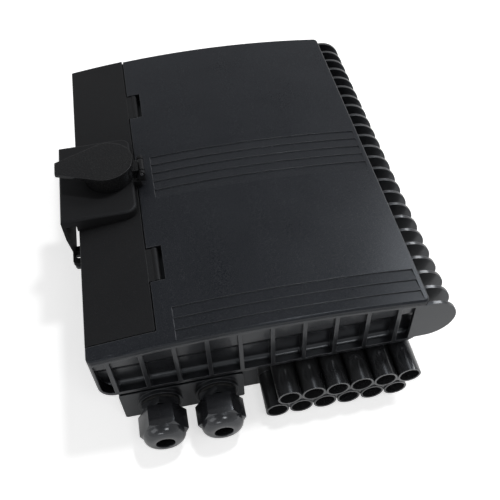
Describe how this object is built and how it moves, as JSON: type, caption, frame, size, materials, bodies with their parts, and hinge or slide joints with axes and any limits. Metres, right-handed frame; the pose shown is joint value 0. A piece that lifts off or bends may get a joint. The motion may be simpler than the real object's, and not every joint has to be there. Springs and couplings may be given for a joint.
{
  "type": "fibre access terminal box",
  "caption": "Wall-mounted fibre access terminal box: ribbed base, domed hinged lid, side latch flap with a capped lock, cable glands and drop-cable tubes.",
  "frame": {"origin": "centre of the flat back face, midway between the lid's sides and between its ends", "axes": "+X from the latch side to the hinge side, +Y from the cable ports to the far end, +Z from the back out through the lid"},
  "size_m": [0.2749, 0.3547, 0.1198],
  "materials": {
    "shell_plastic": "fine-grained black moulding",
    "tube_plastic": "smooth black moulding",
    "lid_plastic": "satin charcoal moulding",
    "flap_plastic": "satin black moulding",
    "gland_nylon": "glossy black nylon",
    "cap_rubber": "smooth black soft plastic",
    "gasket_rubber": "matt foam rubber",
    "rod_steel": "drawn stainless rod",
    "pin_steel": "drawn stainless pin",
    "lock_chrome": "plated zinc",
    "cam_steel": "zinc plated strip",
    "saddle_steel": "zinc plated strip",
    "screw_steel": "zinc plated screw",
    "earth_brass": "plain brass",
    "panel_plastic": "moulded panel",
    "adapter_blue": "moulded blue body",
    "plug_rubber": "soft pale plug",
    "splitter_plastic": "grey ABS case",
    "tray_plastic": "moulded tray",
    "cover_clear": "translucent cover"
  },
  "bodies": {
    "base": {"base_shell": "shell_plastic", "hinge_plates": "shell_plastic", "gland_block": "shell_plastic", "drop_tube_bank": "tube_plastic", "lid_gasket": "gasket_rubber", "hinge_rod": "rod_steel", "gland_washer_1": "gasket_rubber", "gland_body_1": "gland_nylon", "gland_locknut_1": "gland_nylon", "gland_seal_1": "gasket_rubber", "cable_saddle_1": "saddle_steel", "gland_washer_2": "gasket_rubber", "gland_body_2": "gland_nylon", "gland_locknut_2": "gland_nylon", "gland_seal_2": "gasket_rubber", "cable_saddle_2": "saddle_steel", "anchor_plates": "saddle_steel", "fitting_screws": "screw_steel", "earth_stud": "earth_brass", "earth_nut_and_washer": "earth_brass", "adapter_panel": "panel_plastic", "adapter_1": "adapter_blue", "adapter_2": "adapter_blue", "adapter_3": "adapter_blue", "adapter_4": "adapter_blue", "adapter_5": "adapter_blue", "adapter_6": "adapter_blue", "adapter_7": "adapter_blue", "adapter_8": "adapter_blue", "adapter_9": "adapter_blue", "adapter_10": "adapter_blue", "adapter_11": "adapter_blue", "adapter_12": "adapter_blue", "drop_side_plugs": "plug_rubber", "splice_side_plugs": "plug_rubber", "splitter_module": "splitter_plastic", "splice_tray": "tray_plastic", "tray_cover": "cover_clear"},
    "lid": {"lid": "lid_plastic", "flap_pin_1": "pin_steel", "flap_pin_2": "pin_steel"},
    "flap": {"latch_flap": "flap_plastic", "lock_bracket": "flap_plastic", "cap_pin": "pin_steel"},
    "lock": {"lock_cylinder": "lock_chrome", "lock_cam": "cam_steel"},
    "cap": {"lock_cap": "cap_rubber"},
    "nut_1": {"gland_nut_1": "gland_nylon"},
    "nut_2": {"gland_nut_2": "gland_nylon"}
  },
  "joints": [
    {"name": "lid_hinge", "type": "hinge", "parent": "base", "child": "lid", "pos_m": [0.123, 0, 0.065], "axis": [0, 1, 0], "range_deg": [0, 120]},
    {"name": "flap_hinge", "type": "hinge", "parent": "lid", "child": "flap", "pos_m": [-0.065, 0, 0.09377], "axis": [0, 1, 0], "range_deg": [0, 50]},
    {"name": "cap_hinge", "type": "hinge", "parent": "flap", "child": "cap", "pos_m": [-0.0655, 0, 0.109], "axis": [0, 1, 0], "range_deg": [0, 80]},
    {"name": "lock_turn", "type": "hinge", "parent": "flap", "child": "lock", "pos_m": [-0.0915, 0, 0.1035], "axis": [0, 0, 1], "range_deg": [0, 90]},
    {"name": "gland_nut_1_turn", "type": "hinge", "parent": "base", "child": "nut_1", "pos_m": [-0.079, -0.18, 0.021], "axis": [0, 1, 0], "range_deg": [0, 360]},
    {"name": "gland_nut_2_turn", "type": "hinge", "parent": "base", "child": "nut_2", "pos_m": [-0.0365, -0.18, 0.021], "axis": [0, 1, 0], "range_deg": [0, 360]}
  ]
}
